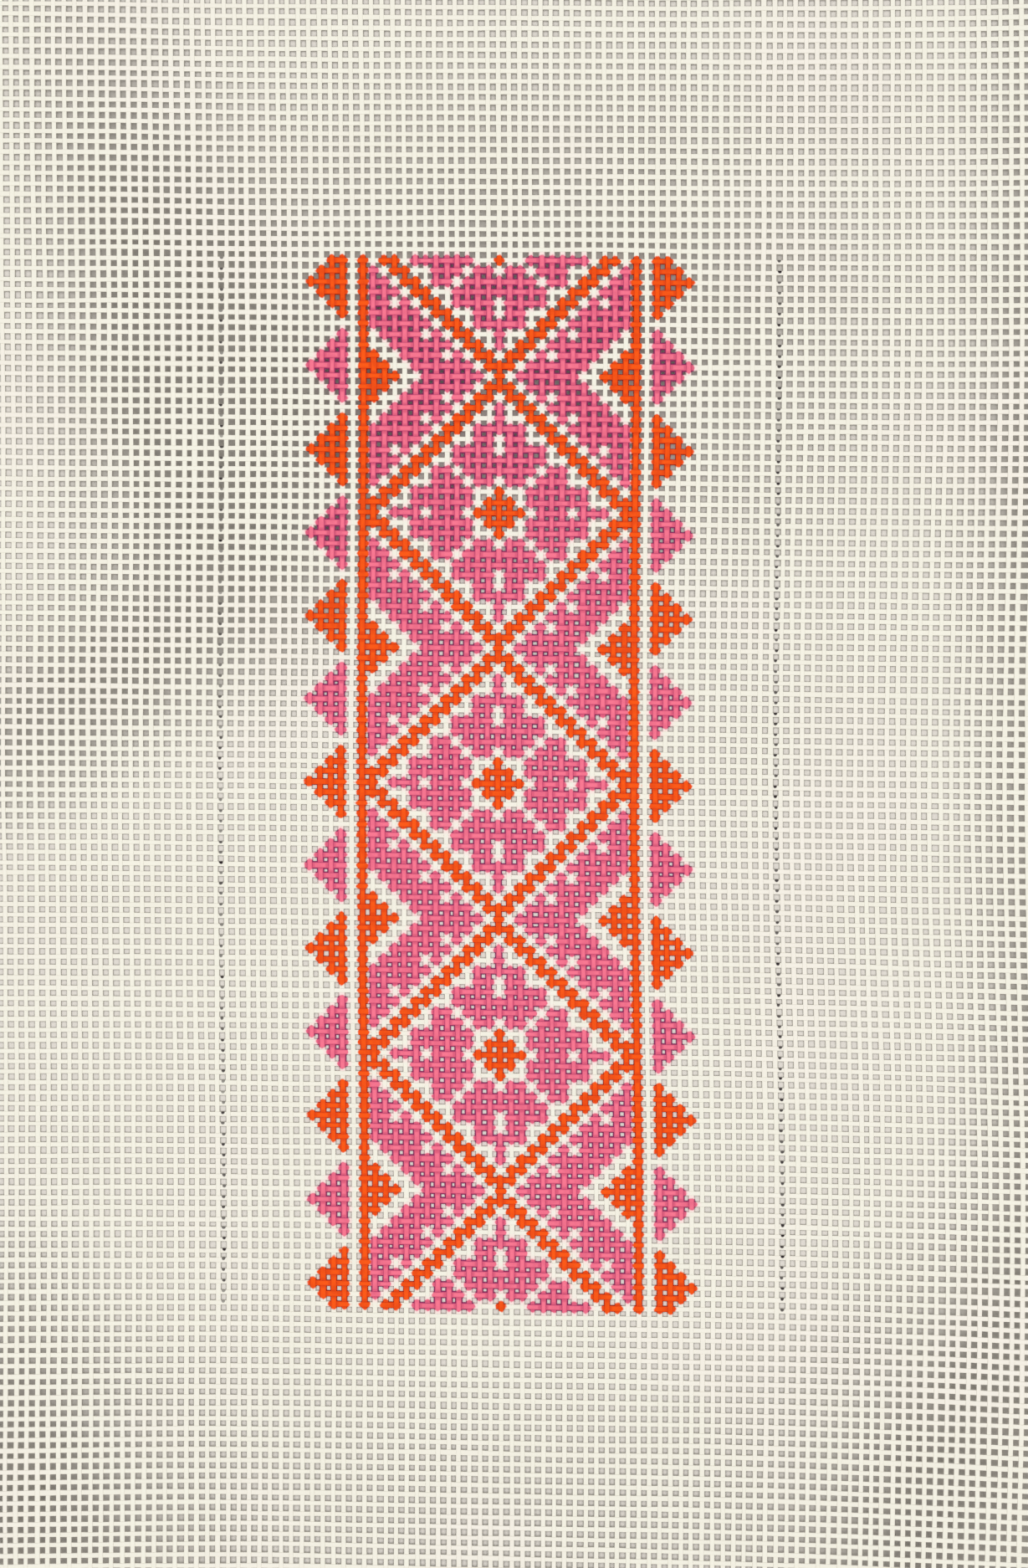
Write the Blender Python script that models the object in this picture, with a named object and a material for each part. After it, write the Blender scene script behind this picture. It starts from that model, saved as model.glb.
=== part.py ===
"""A cut rectangle of needlepoint canvas, lying loosely: much of it is down flat and the rest lifts softly.

X runs across the panel, Y up it and Z away from the surface that it lies on. The origin is in the middle
of the panel's outline, on that surface.
"""
import math
from typing import NamedTuple

import bmesh
import bpy

MM = 0.001
INCH = 25.4 * MM

# The weave sets the size: a mono canvas of 13 threads to the inch, counted each way.
THREAD_PITCH = INCH / 13
WARP_THREADS = 105
WEFT_THREADS = 153
THREAD_END = 0.9 * MM
CANVAS_THICKNESS = 1.0 * MM

# How finely the bending sheet is divided.
CELLS_ACROSS = 38
CELLS_UP = 54

# The scissors wander a little to either side of the thread that they follow.
SIDES = 4
CUT_WANDER = 0.45 * MM
CUT_WAVES_PER_SIDE = (1.3, 3.7)
CUT_WAVE_SHARES = (0.65, 0.35)

# The sheet is down flat wherever the rises below add up to less than this.
DOWN_BELOW = 0.35 * MM

CANVAS_COLOUR = (0.82, 0.79, 0.70, 1.0)
CANVAS_ROUGHNESS = 0.85
SHARP_EDGE_DEGREES = 40


class Drift(NamedTuple):
    """How far the threads have drifted from an even grid, in mm, at five places across the panel."""

    left: float
    left_half: float
    middle: float
    right_half: float
    right: float


class Rise(NamedTuple):
    """Where the sheet lifts softly, in mm: the middle, the spread each way, its lean and the height."""

    across: float
    up: float
    spread_across: float
    spread_up: float
    lean_degrees: float
    lift: float


# Five places up the panel, from its bottom edge to its top one.
DRIFT_ACROSS = (
    Drift(left=0.0, left_half=0.5, middle=0.7, right_half=1.1, right=1.3),
    Drift(left=-0.1, left_half=0.6, middle=0.6, right_half=1.4, right=2.4),
    Drift(left=-0.4, left_half=0.0, middle=0.1, right_half=0.2, right=1.1),
    Drift(left=-0.9, left_half=0.4, middle=0.4, right_half=0.8, right=2.3),
    Drift(left=-1.4, left_half=-0.4, middle=0.0, right_half=1.0, right=2.3),
)
DRIFT_UP = (
    Drift(left=0.6, left_half=0.7, middle=-0.2, right_half=-1.3, right=-3.1),
    Drift(left=0.9, left_half=0.8, middle=0.1, right_half=-0.7, right=-2.2),
    Drift(left=1.0, left_half=0.6, middle=0.0, right_half=-0.8, right=-1.7),
    Drift(left=0.6, left_half=-0.1, middle=-0.3, right_half=-0.7, right=-1.0),
    Drift(left=1.4, left_half=0.7, middle=0.4, right_half=0.2, right=0.6),
)

RISES = (
    # the broad swell behind the top of the painted band, its pocket at the lower left and its right skirt
    Rise(across=-6, up=86, spread_across=44, spread_up=30, lean_degrees=0, lift=1.8),
    Rise(across=-52, up=56, spread_across=20, spread_up=28, lean_degrees=0, lift=1.6),
    Rise(across=44, up=84, spread_across=36, spread_up=34, lean_degrees=0, lift=0.6),
    # the soft ridges that run out of it to the top edge and to the left one
    Rise(across=-67, up=106, spread_across=13, spread_up=40, lean_degrees=16, lift=1.7),
    Rise(across=-82, up=12, spread_across=24, spread_up=11, lean_degrees=35, lift=2.0),
    # the right edge, curling up
    Rise(across=106, up=20, spread_across=12, spread_up=130, lean_degrees=0, lift=2.8),
    # the bottom edge and the two lower corners
    Rise(across=6, up=-150, spread_across=62, spread_up=34, lean_degrees=0, lift=0.9),
    Rise(across=-98, up=-140, spread_across=24, spread_up=38, lean_degrees=14, lift=2.8),
    Rise(across=102, up=-138, spread_across=28, spread_up=38, lean_degrees=-8, lift=3.2),
)


def between(values, share):
    """A smooth curve through evenly spaced values, read at a share of its way from 0 to 1."""
    place = min(max(share, 0.0), 1.0) * (len(values) - 1)
    at = min(int(place), len(values) - 2)
    t = place - at
    before = values[at - 1] if at > 0 else 2 * values[0] - values[1]
    after = values[at + 2] if at + 2 < len(values) else 2 * values[-1] - values[-2]
    start, end = values[at], values[at + 1]
    leaving = (end - before) / 2
    arriving = (after - start) / 2
    return (
        start * (1 + 2 * t) * (1 - t) ** 2
        + leaving * t * (1 - t) ** 2
        + end * t * t * (3 - 2 * t)
        + arriving * t * t * (t - 1)
    )


def drift(table, share_across, share_up):
    """The drift that a table gives at a place on the panel, in metres."""
    return between([between(row, share_across) for row in table], share_up) * MM


def cut_wander(share_along, side):
    """How far the cut strays outwards at a share of the way along a side, numbered from 0."""
    start = side / SIDES
    waves = zip(CUT_WAVES_PER_SIDE, CUT_WAVE_SHARES)
    return CUT_WANDER * sum(
        size * math.sin(math.tau * (count * share_along + start)) for count, size in waves
    )


def height(x, y):
    """How far the underside is above the surface at a place on the panel."""
    total = 0.0
    for rise in RISES:
        lean = math.radians(rise.lean_degrees)
        dx = x / MM - rise.across
        dy = y / MM - rise.up
        sideways = (dx * math.cos(lean) + dy * math.sin(lean)) / rise.spread_across
        lengthways = (dy * math.cos(lean) - dx * math.sin(lean)) / rise.spread_up
        total += rise.lift * MM * math.exp(-(sideways**2 + lengthways**2) / 2)
    above = max(total - DOWN_BELOW, 0.0)
    return above * above / (above + DOWN_BELOW)


def half_size():
    """Half the cut's width and length, with its threads' ends."""
    width = (WARP_THREADS - 1) * THREAD_PITCH + 2 * THREAD_END
    length = (WEFT_THREADS - 1) * THREAD_PITCH + 2 * THREAD_END
    return width / 2, length / 2


def place(step_across, step_up):
    """The underside's point at a step of the grid, before the outline is centred."""
    half_width, half_length = half_size()
    share_across = step_across / CELLS_ACROSS
    share_up = step_up / CELLS_UP
    even_x = (2 * share_across - 1) * half_width
    even_y = (2 * share_up - 1) * half_length
    x = even_x + drift(DRIFT_ACROSS, share_across, share_up)
    y = even_y + drift(DRIFT_UP, share_across, share_up)
    if step_across == 0:
        x -= cut_wander(share_up, 0)
    if step_across == CELLS_ACROSS:
        x += cut_wander(share_up, 1)
    if step_up == 0:
        y -= cut_wander(share_across, 2)
    if step_up == CELLS_UP:
        y += cut_wander(share_across, 3)
    return x, y, height(even_x, even_y)


def centred(points):
    """The same points with the middle of their outline at the origin."""
    middle_x = (min(p[0] for p in points) + max(p[0] for p in points)) / 2
    middle_y = (min(p[1] for p in points) + max(p[1] for p in points)) / 2
    return [(x - middle_x, y - middle_y, z) for x, y, z in points]


def canvas_mesh():
    """One closed sheet: its underside, its top a thickness higher, and the cut edges between them."""
    steps = [(i, j) for j in range(CELLS_UP + 1) for i in range(CELLS_ACROSS + 1)]
    points = centred([place(i, j) for i, j in steps])
    mesh = bmesh.new()
    lower = {step: mesh.verts.new(point) for step, point in zip(steps, points)}
    upper = {
        step: mesh.verts.new((x, y, z + CANVAS_THICKNESS)) for step, (x, y, z) in zip(steps, points)
    }
    for i in range(CELLS_ACROSS):
        for j in range(CELLS_UP):
            corners = (i, j), (i + 1, j), (i + 1, j + 1), (i, j + 1)
            mesh.faces.new([upper[c] for c in corners])
            mesh.faces.new([lower[c] for c in reversed(corners)])
    rim = [(i, 0) for i in range(CELLS_ACROSS)]
    rim += [(CELLS_ACROSS, j) for j in range(CELLS_UP)]
    rim += [(i, CELLS_UP) for i in range(CELLS_ACROSS, 0, -1)]
    rim += [(0, j) for j in range(CELLS_UP, 0, -1)]
    for here, following in zip(rim, rim[1:] + rim[:1]):
        mesh.faces.new((lower[here], lower[following], upper[following], upper[here]))
    bmesh.ops.triangulate(mesh, faces=mesh.faces)
    data = bpy.data.meshes.new("canvas")
    mesh.to_mesh(data)
    mesh.free()
    data.shade_smooth()
    data.set_sharp_from_angle(angle=math.radians(SHARP_EDGE_DEGREES))
    return data


def canvas_material():
    """Stiffened off-white cotton."""
    material = bpy.data.materials.new("canvas")
    material.use_nodes = True
    surface = material.node_tree.nodes["Principled BSDF"]
    surface.inputs["Base Color"].default_value = CANVAS_COLOUR
    surface.inputs["Roughness"].default_value = CANVAS_ROUGHNESS
    surface.inputs["Metallic"].default_value = 0.0
    return material


def main():
    for old in list(bpy.data.objects):
        bpy.data.objects.remove(old, do_unlink=True)
    canvas = bpy.data.objects.new("canvas", canvas_mesh())
    canvas.data.materials.append(canvas_material())
    bpy.context.scene.collection.objects.link(canvas)


main()
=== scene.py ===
"""A needlepoint canvas panel, woven thread by thread over its solid, with a painted band down its middle.

X runs across the panel, Y up it and Z off the surface that it lies on, in metres. Threads are counted from
the middle of the weave: warps run up the panel and are numbered across it, and wefts run across it and are
numbered up it.
"""
import math
from typing import NamedTuple

import bpy
import numpy as np
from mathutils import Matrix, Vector


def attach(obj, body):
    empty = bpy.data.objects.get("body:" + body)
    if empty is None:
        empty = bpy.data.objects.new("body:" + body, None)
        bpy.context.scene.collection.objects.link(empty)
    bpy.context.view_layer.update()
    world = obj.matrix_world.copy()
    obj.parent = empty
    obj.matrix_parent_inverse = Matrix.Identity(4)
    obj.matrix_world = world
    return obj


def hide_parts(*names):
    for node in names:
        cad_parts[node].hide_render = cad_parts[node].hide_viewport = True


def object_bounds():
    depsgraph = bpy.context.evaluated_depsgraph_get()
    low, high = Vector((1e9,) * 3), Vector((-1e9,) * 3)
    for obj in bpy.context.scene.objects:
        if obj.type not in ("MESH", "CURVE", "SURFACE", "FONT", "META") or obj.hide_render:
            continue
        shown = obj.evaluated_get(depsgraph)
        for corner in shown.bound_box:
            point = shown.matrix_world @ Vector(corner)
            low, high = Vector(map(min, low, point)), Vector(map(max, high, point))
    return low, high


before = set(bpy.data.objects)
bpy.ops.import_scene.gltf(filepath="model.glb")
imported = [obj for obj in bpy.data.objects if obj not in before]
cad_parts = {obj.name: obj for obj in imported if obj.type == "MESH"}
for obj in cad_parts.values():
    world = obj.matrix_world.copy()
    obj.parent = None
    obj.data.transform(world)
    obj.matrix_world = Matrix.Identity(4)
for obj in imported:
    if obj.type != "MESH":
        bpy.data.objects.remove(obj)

CAD_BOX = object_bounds()

MM = 0.001
INCH = 25.4 * MM

# The weave, as in the solid.
THREAD_PITCH = INCH / 13
WARP_THREADS = 105
WEFT_THREADS = 153
LAST_COLUMN = (WARP_THREADS - 1) // 2
LAST_ROW = (WEFT_THREADS - 1) // 2
THREAD_END = 0.9 * MM

# A thread is a flattened tube of four sides. It rises and dips by its crimp as it goes over and under.
SIDES = 4
THREAD_HALF_WIDTH = 0.49 * MM
THREAD_HALF_DEPTH = 0.20 * MM
CRIMP = 0.08 * MM
WEAVE_MIDDLE = 0.36 * MM

# Where a thread's rings stand beside the middle of each crossing that it goes over, in threads.
SHOULDER = 0.62

# How uneven the threads are: in their place, in their width and in where their cut ends stop.
THREAD_STRAY = 0.028 * MM
SLOW_STRAY = 0.05 * MM
SLOW_STRAY_THREADS = 9
WIDTH_SPREAD = 0.04
SLUB_SPREAD = 0.055
SLUB_THREADS = 3
END_SPREAD = 0.35 * MM
END_RANGE = (-1, 0.4)
SEED = 13

# How many points of each side are tried for the weave's outline, and a thread's margin in its strip of UVs.
OUTLINE_POINTS_ACROSS = 60
OUTLINE_POINTS_UP = 90
STRIP_MARGIN = 0.1

# The sheet is down flat wherever the rises below add up to less than this.
DOWN_BELOW = 0.35 * MM


class Drift(NamedTuple):
    """How far the threads have drifted from an even grid, in mm, at five places across the panel."""

    left: float
    left_half: float
    middle: float
    right_half: float
    right: float


class Rise(NamedTuple):
    """Where the sheet lifts softly, in mm: the middle, the spread each way, its lean and the height."""

    across: float
    up: float
    spread_across: float
    spread_up: float
    lean_degrees: float
    lift: float


# Five places up the panel, from its bottom edge to its top one.
DRIFT_ACROSS = (
    Drift(left=0.0, left_half=0.5, middle=0.7, right_half=1.1, right=1.3),
    Drift(left=-0.1, left_half=0.6, middle=0.6, right_half=1.4, right=2.4),
    Drift(left=-0.4, left_half=0.0, middle=0.1, right_half=0.2, right=1.1),
    Drift(left=-0.9, left_half=0.4, middle=0.4, right_half=0.8, right=2.3),
    Drift(left=-1.4, left_half=-0.4, middle=0.0, right_half=1.0, right=2.3),
)
DRIFT_UP = (
    Drift(left=0.6, left_half=0.7, middle=-0.2, right_half=-1.3, right=-3.1),
    Drift(left=0.9, left_half=0.8, middle=0.1, right_half=-0.7, right=-2.2),
    Drift(left=1.0, left_half=0.6, middle=0.0, right_half=-0.8, right=-1.7),
    Drift(left=0.6, left_half=-0.1, middle=-0.3, right_half=-0.7, right=-1.0),
    Drift(left=1.4, left_half=0.7, middle=0.4, right_half=0.2, right=0.6),
)

RISES = (
    # the broad swell behind the top of the painted band, its pocket at the lower left and its right skirt
    Rise(across=-6, up=86, spread_across=44, spread_up=30, lean_degrees=0, lift=1.8),
    Rise(across=-52, up=56, spread_across=20, spread_up=28, lean_degrees=0, lift=1.6),
    Rise(across=44, up=84, spread_across=36, spread_up=34, lean_degrees=0, lift=0.6),
    # the soft ridges that run out of it to the top edge and to the left one
    Rise(across=-67, up=106, spread_across=13, spread_up=40, lean_degrees=16, lift=1.7),
    Rise(across=-82, up=12, spread_across=24, spread_up=11, lean_degrees=35, lift=2.0),
    # the right edge, curling up
    Rise(across=106, up=20, spread_across=12, spread_up=130, lean_degrees=0, lift=2.8),
    # the bottom edge and the two lower corners
    Rise(across=6, up=-150, spread_across=62, spread_up=34, lean_degrees=0, lift=0.9),
    Rise(across=-98, up=-140, spread_across=24, spread_up=38, lean_degrees=14, lift=2.8),
    Rise(across=102, up=-138, spread_across=28, spread_up=38, lean_degrees=-8, lift=3.2),
)

# Within the solid's height, the weave stands a little higher still over the upper part of the painted band,
# and near the top and the bottom edge.
WEAVE_RISES = (
    Rise(across=14, up=48, spread_across=32, spread_up=32, lean_degrees=0, lift=0.30),
    Rise(across=10, up=130, spread_across=60, spread_up=22, lean_degrees=0, lift=0.24),
    Rise(across=-18, up=-128, spread_across=36, spread_up=16, lean_degrees=0, lift=0.15),
)

# The painted band, counted in threads from its middle.
BAND_HALF_COLUMNS = 18
BAND_HALF_ROWS = 50
RAIL_COLUMN = 13
FIELD_ROWS = 13
TOOTH_ROWS = 8
TOOTH_REACH = (7, 5, 3, 1)
TOOTH_COLUMN = 15

# A quarter of the field's repeat, from the middle of a lozenge (top left) to where two lozenges meet
# (below). O is orange, P is pink and a dot is bare. It is mirrored left, right, up and down.
FIELD = (
    "OOO.PPP.PPP.O",
    "OO.PPPPPP..OO",
    "O..PPPPPP.OO.",
    ".PP.PPP..OO.P",
    "PPPP.PP.OO.PP",
    "PPPPP..OO.PPP",
    ".PPPP.OO.P.PP",
    ".PP..OO.PPPPP",
    "PPP.OO.PPPPPP",
    "P..OO.P.PPPP.",
    "P.OO.PPPPPP..",
    ".OO.P.PPPP..O",
    "OO.PPPPPP..OO",
    "O.PPPPPP..OOO",
)

# A thread's top is this share of its base's width. Paint makes the thread wider, and pools at its base.
TOP_SHARE = 0.82
ORANGE_BODY = 0.17
PINK_BODY = 0.14
ORANGE_POOL = 0.05
PINK_POOL = 0.27

# The line that is dotted on in pen on each side of the band, half-way between two warps: one small dot on
# the upper edge of each weft. A turn goes once round the thread from that edge, and the rest is in mm.
PEN_COLUMN = 26.5
PEN_HALF_ROWS = 50
PEN_TURN = 0.015
PEN_TURN_SPREAD = 0.13
PEN_HALF_LENGTH = 0.36
PEN_LEFT = (0.6, 1.0)
PEN_RIGHT = (0.85, 1.0)
PEN_WANDER = 0.8


def hermite_weights(count, share):
    """For each share from 0 to 1, how much each of count evenly spaced values adds to a smooth curve."""
    place = np.clip(share, 0, 1) * (count - 1)
    at = np.minimum(place.astype(int), count - 2)
    t = place - at
    rows = np.arange(len(share))
    weights = np.zeros((len(share), count))

    def add(steps_on, amount):
        index = at + steps_on
        under = index < 0
        over = index > count - 1
        inside = ~(under | over)
        np.add.at(weights, (rows[inside], index[inside]), amount[inside])
        np.add.at(weights, (rows[under], 0), 2 * amount[under])
        np.add.at(weights, (rows[under], 1), -amount[under])
        np.add.at(weights, (rows[over], count - 1), 2 * amount[over])
        np.add.at(weights, (rows[over], count - 2), -amount[over])

    leaving = t * (1 - t) ** 2 / 2
    arriving = t * t * (t - 1) / 2
    add(0, (1 + 2 * t) * (1 - t) ** 2 - arriving)
    add(1, t * t * (3 - 2 * t) + leaving)
    add(-1, -leaving)
    add(2, arriving)
    return weights


def drift(table, share_across, share_up):
    """The drift that a table gives at each place, in metres."""
    values = np.array(table)
    up = hermite_weights(values.shape[0], share_up)
    across = hermite_weights(values.shape[1], share_across)
    return np.einsum("nr,rc,nc->n", up, values, across) * MM


def lift(rises, x, y):
    """How much the rises add up to at each place on the even grid."""
    total = np.zeros_like(x)
    for rise in rises:
        lean = math.radians(rise.lean_degrees)
        dx = x / MM - rise.across
        dy = y / MM - rise.up
        sideways = (dx * math.cos(lean) + dy * math.sin(lean)) / rise.spread_across
        lengthways = (dy * math.cos(lean) - dx * math.sin(lean)) / rise.spread_up
        total += rise.lift * MM * np.exp(-(sideways**2 + lengthways**2) / 2)
    return total


def height(x, y):
    """How far the sheet's underside is above the surface at each place on the even grid."""
    above = np.maximum(lift(RISES, x, y) - DOWN_BELOW, 0)
    return above * above / (above + DOWN_BELOW)


def on_sheet(column, row):
    """Where thread numbers, whole or not, lie on the sheet: an array of places under the weave."""
    even_x = column * THREAD_PITCH
    even_y = row * THREAD_PITCH
    half_width = LAST_COLUMN * THREAD_PITCH + THREAD_END
    half_length = LAST_ROW * THREAD_PITCH + THREAD_END
    share_across = (even_x / half_width + 1) / 2
    share_up = (even_y / half_length + 1) / 2
    x = even_x + drift(DRIFT_ACROSS, share_across, share_up)
    y = even_y + drift(DRIFT_UP, share_across, share_up)
    return np.stack([x, y, height(even_x, even_y) + lift(WEAVE_RISES, even_x, even_y)], axis=1)


def weave_offset():
    """How far the weave's own middle is moved, so that its outline's middle is the solid's."""
    columns = np.linspace(-LAST_COLUMN, LAST_COLUMN, OUTLINE_POINTS_ACROSS)
    rows = np.linspace(-LAST_ROW, LAST_ROW, OUTLINE_POINTS_UP)
    left, right = (np.full_like(rows, columns[end]) for end in (0, -1))
    bottom, top = (np.full_like(columns, rows[end]) for end in (0, -1))
    outline_columns = np.concatenate([columns, columns, left, right])
    outline_rows = np.concatenate([bottom, top, rows, rows])
    outline = on_sheet(outline_columns, outline_rows)
    middle = (outline.min(0) + outline.max(0)) / 2
    low, high = np.array(CAD_BOX)
    return (low[:2] + high[:2]) / 2 - middle[:2]


class Thread(NamedTuple):
    """One thread's rings: their places along and across it in thread numbers, crimps and half widths.

    The marks are how strong the pen's dot is where the thread passes the left line and the right one.
    """

    along: np.ndarray
    across: np.ndarray
    crimp: np.ndarray
    half_width: np.ndarray
    marks: tuple


def slow_noise(random, count, every):
    """A smooth random line of count values about 1 in size that turns over about every so many."""
    knots = random.normal(size=count // every + 4)
    share = np.arange(count) / (count // every * every + every)
    return hermite_weights(len(knots), share) @ knots


def thread(random, number, last_crossing, goes_over_even):
    """One thread, which runs from minus to plus last_crossing and goes over every second crossing."""
    first_over = -last_crossing if (last_crossing % 2 == 0) == goes_over_even else 1 - last_crossing
    overs = np.arange(first_over, last_crossing + 1, 2)
    end = last_crossing + THREAD_END / THREAD_PITCH
    ends = end + random.uniform(*END_RANGE, size=2) * END_SPREAD / THREAD_PITCH
    shoulders = np.concatenate([overs - SHOULDER, overs + SHOULDER])
    shoulders = shoulders[np.abs(shoulders) < last_crossing]
    along = np.sort(np.concatenate([overs, shoulders, [-ends[0], ends[1]]]))
    over_it = np.isin(along, overs)
    crimp = np.where(over_it, CRIMP, CRIMP * math.cos(math.pi * SHOULDER))
    count = 2 * last_crossing + 1
    crossings = np.arange(count) - last_crossing
    stray = random.normal() * THREAD_STRAY + slow_noise(random, count, SLOW_STRAY_THREADS) * SLOW_STRAY
    slub = random.normal() * WIDTH_SPREAD + slow_noise(random, count, SLUB_THREADS) * SLUB_SPREAD
    across = number + np.interp(along, crossings, stray) / THREAD_PITCH
    half_width = THREAD_HALF_WIDTH * (1 + np.interp(along, crossings, slub))
    marks = (random.uniform(*PEN_LEFT), random.uniform(*PEN_RIGHT))
    return Thread(along, across, crimp, half_width, marks)


def chart_tables():
    """For each crossing of the whole canvas, rows by columns: whether orange is on it, and pink."""
    orange = np.zeros((WEFT_THREADS, WARP_THREADS))
    pink = np.zeros_like(orange)
    for row in range(-BAND_HALF_ROWS, BAND_HALF_ROWS + 1):
        for column in range(-BAND_HALF_COLUMNS, BAND_HALF_COLUMNS + 1):
            colour = chart(column, row)
            orange[row + LAST_ROW, column + LAST_COLUMN] = colour == "O"
            pink[row + LAST_ROW, column + LAST_COLUMN] = colour == "P"
    return orange, pink


def chart(column, row):
    """The colour of a crossing of the band: O, P or a dot."""
    out = abs(column)
    if out < RAIL_COLUMN:
        fold = abs(row) % (2 * FIELD_ROWS)
        return FIELD[min(fold, 2 * FIELD_ROWS - fold)][out]
    if out == RAIL_COLUMN:
        return "O"
    if out < TOOTH_COLUMN:
        return "."
    tooth = (row + BAND_HALF_ROWS * TOOTH_ROWS + TOOTH_ROWS // 2) // TOOTH_ROWS
    from_middle = abs((row + TOOTH_ROWS // 2) % TOOTH_ROWS - TOOTH_ROWS // 2)
    if 2 * from_middle + 1 > TOOTH_REACH[out - TOOTH_COLUMN]:
        return "."
    return "O" if tooth % 2 == 0 else "P"


def read_table(table, column, row):
    """A table over the crossings, read between them in proportion."""
    x = np.clip(column + LAST_COLUMN, 0, WARP_THREADS - 1.001)
    y = np.clip(row + LAST_ROW, 0, WEFT_THREADS - 1.001)
    i, j = x.astype(int), y.astype(int)
    s, t = x - i, y - j
    low = table[j, i] * (1 - s) + table[j, i + 1] * s
    high = table[j + 1, i] * (1 - s) + table[j + 1, i + 1] * s
    return low * (1 - t) + high * t


def ring_corners(places, tangents, tops, bases):
    """Each ring's four corners, from its half widths: two above the thread's middle line and two below."""
    side = np.cross(tangents, (0, 0, 1))
    side /= np.linalg.norm(side, axis=1)[:, None]
    up = np.cross(side, tangents)
    top = side * tops[:, None]
    base = side * bases[:, None]
    deep = up * THREAD_HALF_DEPTH
    corners = [places + deep - top, places + deep + top, places - deep + base, places - deep - base]
    return np.stack(corners, axis=1)


def tube_uvs(around, along):
    """The UVs of a tube's faces, corner by corner: its sides, then its first cap and its last one."""
    shape = (len(along) - 1, SIDES)
    here, following = (np.broadcast_to(turns[None, :], shape) for turns in (around[:-1], around[1:]))
    start, end = (np.broadcast_to(lengths[:, None], shape) for lengths in (along[:-1], along[1:]))
    corners = ((here, start), (following, start), (following, end), (here, end))
    sides = np.stack([np.stack(corner, axis=-1) for corner in corners], axis=2)
    first_cap = [(around[k], along[0]) for k in reversed(range(SIDES))]
    last_cap = [(around[k], along[-1]) for k in range(SIDES)]
    return np.concatenate([sides.reshape(-1, 2), first_cap, last_cap])


class ThreadSet:
    """One set of parallel threads, gathered into the arrays of one mesh."""

    def __init__(self, is_warp, orange, pink):
        self.is_warp = is_warp
        self.tables = {"orange": orange, "pink": pink}
        self.points = []
        self.faces = []
        self.uvs = []
        self.strand_uvs = []
        self.values = {"orange": [], "pink": [], "pen": [], "over": [], "tone": []}
        self.count = 0

    def add(self, strand, tone, strip, strips, offset):
        """Adds one thread: its tube, closed at both ends, and what its surface needs to know."""
        along, across = strand.along, strand.across
        column, row = (across, along) if self.is_warp else (along, across)
        places = on_sheet(column, row)
        places[:, :2] += offset
        places[:, 2] += WEAVE_MIDDLE + strand.crimp
        tangents = np.gradient(places, axis=0)
        tangents /= np.linalg.norm(tangents, axis=1)[:, None]
        orange, pink = (read_table(table, column, row) for table in self.tables.values())
        body = 1 + ORANGE_BODY * orange + PINK_BODY * pink
        tops = strand.half_width * TOP_SHARE * body
        bases = strand.half_width * (body + ORANGE_POOL * orange + PINK_POOL * pink)
        corners = ring_corners(places, tangents, tops, bases)
        self.points.append(corners.reshape(-1, 3))
        self.add_faces(len(along))
        self.add_uvs(along, strip, strips)
        self.add_values(column, row, strand, tone)

    def add_faces(self, rings):
        """The faces of one tube: its sides, ring by ring, its first cap and its last one."""
        start = self.count
        ring = np.arange(rings - 1)[:, None] * SIDES + start
        side = np.arange(SIDES)[None, :]
        following = (side + 1) % SIDES
        corners = [ring + side, ring + following, ring + following + SIDES, ring + side + SIDES]
        self.faces += np.stack(corners, axis=-1).reshape(-1, 4).tolist()
        last = start + SIDES * (rings - 1)
        self.faces.append([start + k for k in reversed(range(SIDES))])
        self.faces.append([last + k for k in range(SIDES)])
        self.count += SIDES * rings

    def add_uvs(self, along, strip, strips):
        """Each thread has its own strip of the sheet of UVs. The strand's own are its turns and mm."""
        turns = np.arange(SIDES + 1) / SIDES
        share = (along - along.min()) / (along.max() - along.min())
        across = (strip + STRIP_MARGIN + (1 - 2 * STRIP_MARGIN) * turns) / strips
        sheet = tube_uvs(across, share)
        self.uvs.append(sheet if self.is_warp else sheet[:, ::-1])
        self.strand_uvs.append(tube_uvs(turns, along * THREAD_PITCH / MM))

    def add_values(self, column, row, strand, tone):
        """Values for each ring, the same at all its corners."""
        for name, table in self.tables.items():
            self.values[name].append(np.repeat(read_table(table, column, row), SIDES))
        left, right = strand.marks
        marked = (not self.is_warp) & (np.abs(row) < PEN_HALF_ROWS + 0.5)
        pen = np.where(marked, np.where(column < 0, left, right), 0.0)
        self.values["pen"].append(np.repeat(pen, SIDES))
        over = (strand.crimp - strand.crimp.min()) / (strand.crimp.max() - strand.crimp.min())
        self.values["over"].append(np.repeat(over, SIDES))
        self.values["tone"].append(np.full(SIDES * len(column), tone))

    def mesh(self, name):
        """The set as a mesh, with its UVs and its values, and with its lengthways edges sharp."""
        data = bpy.data.meshes.new(name)
        data.from_pydata(np.concatenate(self.points), [], self.faces)
        for layer, uvs in (("OFBake", self.uvs), ("strand", self.strand_uvs)):
            flat = np.concatenate(uvs).astype(np.float32)
            data.uv_layers.new(name=layer).uv.foreach_set("vector", flat.ravel())
        for key, values in self.values.items():
            attribute = data.attributes.new(key, "FLOAT", "POINT")
            attribute.data.foreach_set("value", np.concatenate(values).astype(np.float32))
        data.shade_smooth()
        ends = np.zeros(2 * len(data.edges), dtype=np.int32)
        data.edges.foreach_get("vertices", ends)
        lengthways = np.abs(ends[::2] - ends[1::2]) == SIDES
        data.attributes.new("sharp_edge", "BOOLEAN", "EDGE").data.foreach_set("value", lengthways)
        data.uv_layers["OFBake"].active_render = True
        return data


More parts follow.
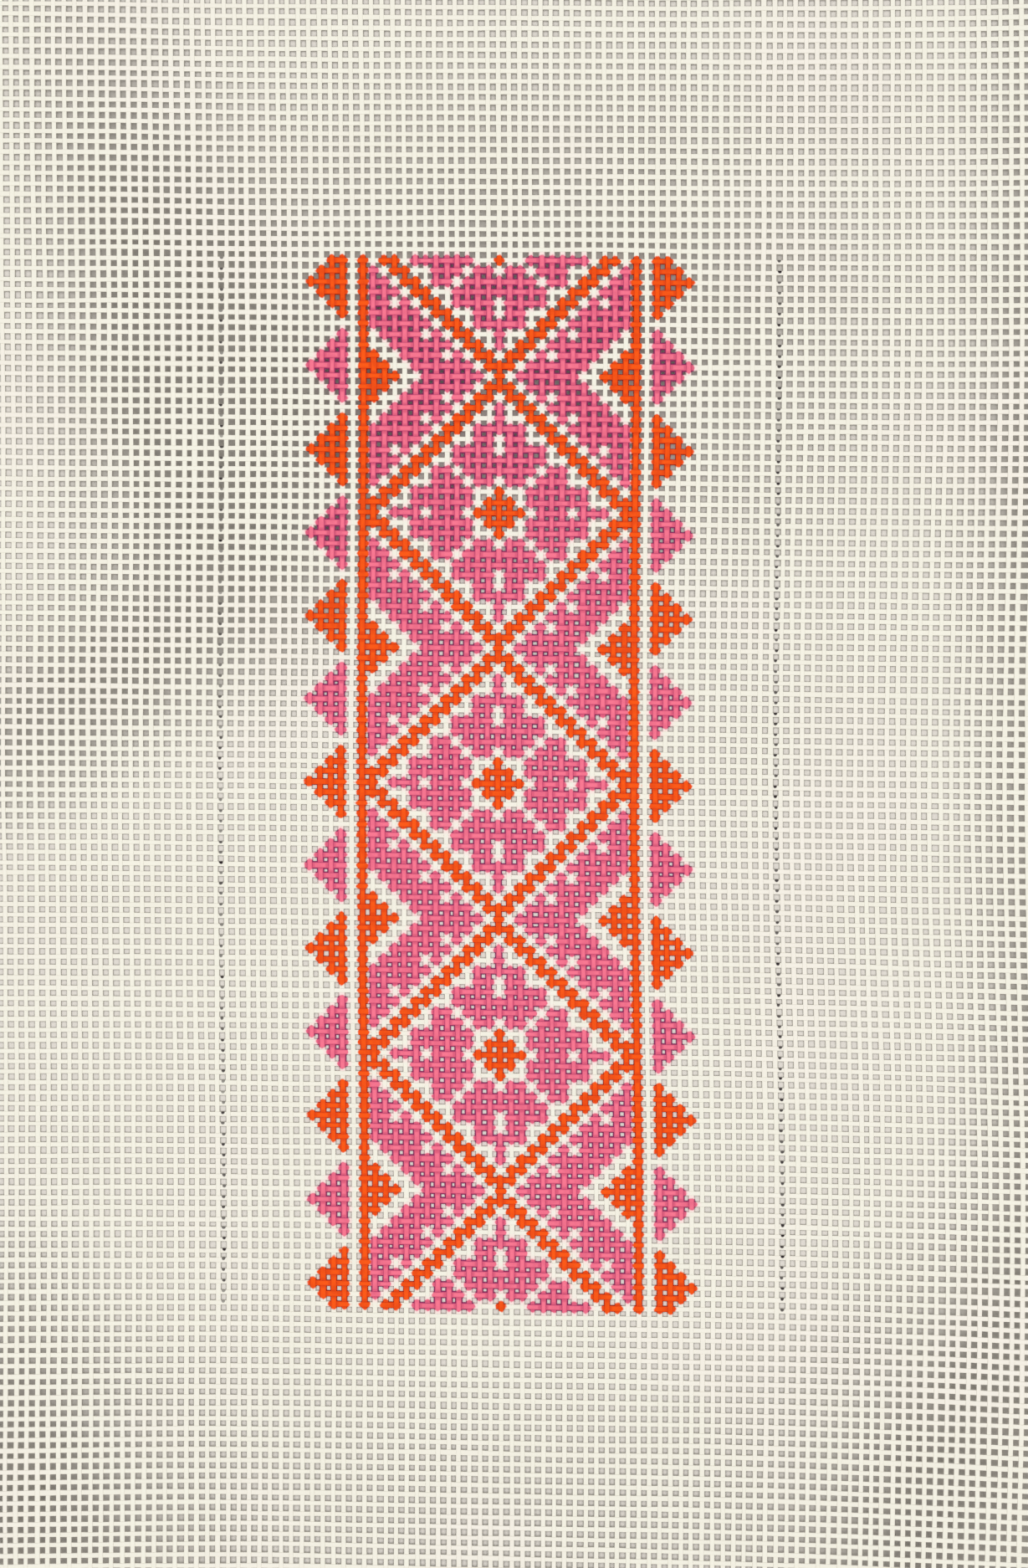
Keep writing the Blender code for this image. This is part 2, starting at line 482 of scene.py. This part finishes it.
def woven_set(name, is_warp, tables, offset):
    """All the threads that run one way, as one object."""
    random = np.random.default_rng(SEED + is_warp)
    last_thread, last_crossing = (LAST_COLUMN, LAST_ROW) if is_warp else (LAST_ROW, LAST_COLUMN)
    threads = 2 * last_thread + 1
    made = ThreadSet(is_warp, *tables)
    for strip in range(threads):
        number = strip - last_thread
        over_even = number % 2 == 0 if is_warp else number % 2 == 1
        strand = thread(random, number, last_crossing, over_even)
        made.add(strand, random.uniform(), strip, threads, offset)
    piece = bpy.data.objects.new(name, made.mesh(name))
    bpy.context.scene.collection.objects.link(piece)
    return piece


class Nodes:
    """Short ways to add nodes to a material."""

    def __init__(self, material):
        material.use_nodes = True
        self.tree = material.node_tree
        self.surface = self.tree.nodes["Principled BSDF"]

    def join(self, value, socket):
        if isinstance(value, bpy.types.NodeSocket):
            self.tree.links.new(value, socket)
        else:
            socket.default_value = value

    def add(self, kind, inputs=(), output=0, **settings):
        node = self.tree.nodes.new("ShaderNode" + kind)
        for key, value in settings.items():
            setattr(node, key, value)
        for key, value in dict(inputs).items():
            self.join(value, node.inputs[key])
        return node.outputs[output]

    def math(self, operation, first, second=0.0, third=0.0):
        return self.add("Math", {0: first, 1: second, 2: third}, operation=operation)

    def value(self, name):
        return self.add("Attribute", output="Fac", attribute_name=name)

    def mix(self, amount, first, second):
        return self.add("Mix", {0: amount, 6: first, 7: second}, output=2, data_type="RGBA")

    def ramp(self, value, low, high):
        """0 below low, 1 above high, and smooth between."""
        inputs = {0: value, 1: low, 2: high, 3: 0.0, 4: 1.0}
        return self.add("MapRange", inputs, interpolation_type="SMOOTHSTEP")

    def noise(self, vector, scale, detail=2.0, output="Fac"):
        return self.add("TexNoise", {"Vector": vector, "Scale": scale, "Detail": detail}, output=output)


COTTON = (0.84, 0.828, 0.733, 1)
COTTON_WARM = (0.85, 0.815, 0.745, 1)
# darker cotton: some threads' own tone at random, and painted shade where a thread dips and along its edges
COTTON_TONE_AND_SHADE = (0.76, 0.73, 0.64, 1)
# painted shade on the flanks of bare threads, round the holes
COTTON_FLANK_SHADE = (0.60, 0.575, 0.51, 1)
ORANGE = (0.885, 0.088, 0.0, 1)
# deeper orange: thicker paint in the mottle, and painted shade at dips and edges
ORANGE_THICK_AND_SHADE = (0.62, 0.03, 0.0, 1)
# orange pooled in the gaps, made darker still as painted shade
ORANGE_POOLED_AND_SHADE = (0.52, 0.02, 0.0, 1)
PINK = (0.865, 0.168, 0.264, 1)
# deeper pink: thicker paint in the mottle, and painted shade at dips and edges
PINK_THICK_AND_SHADE = (0.49, 0.035, 0.12, 1)
# pink pooled in the gaps, made darker and more purple as painted shade
PINK_POOLED_AND_SHADE = (0.36, 0.042, 0.175, 1)
PEN = (0.02, 0.012, 0.016, 1)
# pink on bare threads beside pink paint: partly paint bleed, partly a painted reflection of pink bounce
# light
PINK_BLEED_AND_BOUNCE = (0.90, 0.68, 0.68, 1)
COTTON_ROUGHNESS = 0.82
PAINT_ROUGHNESS = 0.60
SPECULAR = 0.1

# The noises' scales, for places in metres: how fine each one is.
PATCH_SCALE = 24.0
PEN_SCALE = 260.0
MOTTLE_SCALE = 420.0
RAGGED_SCALE = 1500.0
FUZZ_SCALE = 5200.0

# Round a thread, its top runs from turn 0 to 0.25, and the flank's colour is full at the last of these.
TOP_MIDDLE = 0.125
TOP_END = 0.25
FLANK_FULL = 0.30

# Paint ends between these shares of the way from a bare crossing to a painted one. How ragged that line is,
# how far it draws back at a thread's edges, and how pink the bare thread just outside pink paint is: partly
# paint bleed, partly painted pink bounce light.
PAINT_EDGE = (0.36, 0.52)
PAINT_RAGGED = 0.30
PAINT_ROUNDING = 0.10
TINT_REACH = 0.45
TINT_SHARE = 0.75

# The twist of the yarn, in mm for each turn, and the height of its relief.
TWIST_LENGTH = 0.7
RELIEF_DEPTH = 0.03 * MM
RELIEF_STRENGTH = 0.5


def pen_dots(n, where, turn, length):
    """How much ink there is: a dot at each thread's turn and length where a pen line crosses it."""
    wander = n.math("MULTIPLY", n.math("SUBTRACT", n.noise(where, PEN_SCALE), 0.5), PEN_WANDER)
    from_line = n.math("SUBTRACT", n.math("ABSOLUTE", length), PEN_COLUMN * THREAD_PITCH / MM)
    away = n.math("DIVIDE", n.math("ADD", from_line, wander), PEN_HALF_LENGTH)
    from_edge = n.math("WRAP", turn, 0.5, -0.5)
    around = n.math("DIVIDE", n.math("SUBTRACT", from_edge, PEN_TURN), PEN_TURN_SPREAD)
    square = n.math("ADD", n.math("MULTIPLY", away, away), n.math("MULTIPLY", around, around))
    dot = n.math("SUBTRACT", 1.0, n.ramp(square, 0.5, 1.4))
    return n.math("MULTIPLY", dot, n.value("pen"))


class Spot(NamedTuple):
    """Where a point is on its thread, as sockets.

    The edge is 0 down the middle of the thread's top and 1 at its two edges and beyond. The flank is 0 on
    the top and 1 elsewhere. The depth is 0 where the thread goes over and 1 where it goes under.
    """

    where: bpy.types.NodeSocket
    edge: bpy.types.NodeSocket
    flank: bpy.types.NodeSocket
    depth: bpy.types.NodeSocket


def bare_colour(n, spot):
    """The cotton's colour: warmer in patches and darker on some threads at random, with painted shade where
    a thread dips, along its top's edges and on its flanks.
    """
    warm = n.ramp(n.noise(spot.where, PATCH_SCALE), 0.48, 0.66)
    colour = n.mix(warm, COTTON, COTTON_WARM)
    tone = n.math("MULTIPLY", n.value("tone"), 0.25)
    # some threads darker at random, and painted shade where a thread dips under another
    colour = n.mix(n.math("MULTIPLY_ADD", spot.depth, 0.04, tone), colour, COTTON_TONE_AND_SHADE)
    # painted shade along the edges of the thread's top
    colour = n.mix(n.math("MULTIPLY", spot.edge, 0.3), colour, COTTON_TONE_AND_SHADE)
    # painted shade on the flanks
    return n.mix(spot.flank, colour, COTTON_FLANK_SHADE)


def paint_colour(n, spot, mottle, thin, thick_and_shade, pooled_and_shade):
    """One paint's colour: thin to thick with the mottle, painted shade where the thread dips and along its
    top's edges, and on the flanks pooled paint darkened further as painted shade.
    """
    # painted shade where the thread dips under another and along its top's edges
    dip_shade = n.math("MULTIPLY", n.ramp(spot.depth, 0.6, 1.0), 0.5)
    hollow_shade = n.math("MAXIMUM", n.math("MULTIPLY", spot.edge, 0.6), dip_shade)
    # the flanks take the pooled paint, darkened as painted shade
    return n.mix(spot.flank, n.mix(n.math("MAXIMUM", mottle, hollow_shade), thin, thick_and_shade), pooled_and_shade)


def relief(n, where, turn, length):
    """The bump of the yarn's twist and its fuzz."""
    turned = n.math("MULTIPLY", turn, math.tau)
    twist = n.math("SINE", n.math("MULTIPLY_ADD", length, math.tau / TWIST_LENGTH, turned))
    fuzz = n.math("MULTIPLY", n.noise(where, FUZZ_SCALE, 3.0), 1.1)
    height_map = n.math("MULTIPLY_ADD", twist, 0.35, fuzz)
    return n.add("Bump", {"Strength": RELIEF_STRENGTH, "Distance": RELIEF_DEPTH, "Height": height_map})


def thread_material(name):
    """Stiffened cotton thread, bare or painted."""
    material = bpy.data.materials.new(name)
    n = Nodes(material)
    where = n.add("TexCoord", output="Object")
    strand = n.add("UVMap", uv_map="strand")
    turn = n.add("SeparateXYZ", {0: strand}, output="X")
    length = n.add("SeparateXYZ", {0: strand}, output="Y")
    off_middle = n.math("DIVIDE", n.math("SUBTRACT", turn, TOP_MIDDLE), TOP_MIDDLE)
    off_square = n.math("MINIMUM", n.math("MULTIPLY", off_middle, off_middle), 1.0)
    spot = Spot(
        where=where,
        edge=n.ramp(off_square, 0.1, 1.0),
        flank=n.ramp(turn, TOP_END, FLANK_FULL),
        depth=n.math("SUBTRACT", 1.0, n.value("over")),
    )
    noise = n.math("SUBTRACT", n.noise(where, RAGGED_SCALE), 0.5)
    drawn_back = n.math("MULTIPLY", off_square, -PAINT_ROUNDING)
    ragged = n.math("MULTIPLY_ADD", noise, PAINT_RAGGED, drawn_back)
    orange = n.ramp(n.math("ADD", n.value("orange"), ragged), *PAINT_EDGE)
    pink = n.ramp(n.math("ADD", n.value("pink"), ragged), *PAINT_EDGE)
    # pink on bare threads near pink paint: partly paint bleed, partly painted pink bounce light
    tint = n.math("MULTIPLY", n.ramp(n.value("pink"), 0.0, TINT_REACH), TINT_SHARE)
    mottle = n.ramp(n.noise(where, MOTTLE_SCALE, 4.0), 0.40, 0.75)
    pink_mottle = n.math("MULTIPLY", mottle, 0.3)
    orange_mottle = n.math("MULTIPLY", mottle, 0.5)
    colour = n.mix(tint, bare_colour(n, spot), PINK_BLEED_AND_BOUNCE)
    colour = n.mix(pink, colour, paint_colour(n, spot, pink_mottle, PINK, PINK_THICK_AND_SHADE, PINK_POOLED_AND_SHADE))
    colour = n.mix(orange, colour, paint_colour(n, spot, orange_mottle, ORANGE, ORANGE_THICK_AND_SHADE, ORANGE_POOLED_AND_SHADE))
    colour = n.mix(pen_dots(n, where, turn, length), colour, PEN)
    n.join(colour, n.surface.inputs["Base Color"])
    paint = n.math("MAXIMUM", orange, pink)
    smoother = PAINT_ROUGHNESS - COTTON_ROUGHNESS
    n.join(n.math("MULTIPLY_ADD", paint, smoother, COTTON_ROUGHNESS), n.surface.inputs["Roughness"])
    n.join(relief(n, where, turn, length), n.surface.inputs["Normal"])
    n.surface.inputs["Specular IOR Level"].default_value = SPECULAR
    return material


# The table and the light.
TABLE_HALF_SIZE = 3.0
TABLE_COLOUR = (0.66, 0.632, 0.590, 1)
TABLE_ROUGHNESS = 0.6
WINDOW_PLACE = (-0.02, 0.04, 1.35)
WINDOW_SIZE = 1.7
WINDOW_WATTS = 19.3
ROOM_STRENGTH = 0.33
DAYLIGHT = (1.0, 0.99, 0.98)


def table_top():
    """The plain pale surface that the panel lies on."""
    size = TABLE_HALF_SIZE
    mesh = bpy.data.meshes.new("table_top")
    corners = [(-size, -size, 0), (size, -size, 0), (size, size, 0), (-size, size, 0)]
    mesh.from_pydata(corners, [], [(0, 1, 2, 3)])
    floor = bpy.data.objects.new("table_top", mesh)
    material = bpy.data.materials.new("table_top")
    n = Nodes(material)
    n.surface.inputs["Base Color"].default_value = TABLE_COLOUR
    n.surface.inputs["Roughness"].default_value = TABLE_ROUGHNESS
    mesh.materials.append(material)
    bpy.context.scene.collection.objects.link(floor)


def lighting():
    """A wide soft light almost straight above, and a pale room."""
    light = bpy.data.lights.new("window", "AREA")
    light.shape = "DISK"
    light.size = WINDOW_SIZE
    light.energy = WINDOW_WATTS
    light.color = DAYLIGHT
    lamp = bpy.data.objects.new("window", light)
    lamp.location = WINDOW_PLACE
    lamp.rotation_euler = (-Vector(WINDOW_PLACE)).to_track_quat("-Z", "Y").to_euler()
    bpy.context.scene.collection.objects.link(lamp)
    world = bpy.data.worlds.new("room")
    world.use_nodes = True
    background = world.node_tree.nodes["Background"]
    background.inputs["Color"].default_value = (*DAYLIGHT, 1)
    background.inputs["Strength"].default_value = ROOM_STRENGTH
    bpy.context.scene.world = world
    bpy.context.scene.view_settings.view_transform = "Standard"


# The picture: it is taken from straight above, and crops the panel on all four sides.
PICTURE_PIXELS = (1229, 1874)
PIXELS_PER_MM = 6.397
BAND_MIDDLE_PIXEL = (594.6, 936.5)
CAMERA_HEIGHT = 0.8
SENSOR_HEIGHT = 24.0
NEAREST = 0.01


def camera(offset):
    """A camera straight above, turned so that the panel's length runs up the picture."""
    frame_width, frame_height = PICTURE_PIXELS
    right_of_band = (frame_width / 2 - BAND_MIDDLE_PIXEL[0]) / PIXELS_PER_MM * MM
    above_band = (BAND_MIDDLE_PIXEL[1] - frame_height / 2) / PIXELS_PER_MM * MM
    data = bpy.data.cameras.new("camera")
    data.sensor_fit = "VERTICAL"
    data.sensor_height = SENSOR_HEIGHT
    data.lens = SENSOR_HEIGHT * CAMERA_HEIGHT / (frame_height / PIXELS_PER_MM * MM)
    data.clip_start = NEAREST
    eye = bpy.data.objects.new("camera", data)
    eye.location = (offset[0] + right_of_band, offset[1] + above_band, CAMERA_HEIGHT + WEAVE_MIDDLE)
    bpy.context.scene.collection.objects.link(eye)
    bpy.context.scene.camera = eye


def main():
    offset = weave_offset()
    tables = chart_tables()
    warps = woven_set("warp_threads", True, tables, offset)
    wefts = woven_set("weft_threads", False, tables, offset)
    cotton = thread_material("canvas_thread")
    for piece in (warps, wefts):
        piece.data.materials.append(cotton)
        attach(piece, "root")
        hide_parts("canvas")
    table_top()
    lighting()
    camera(offset)


main()
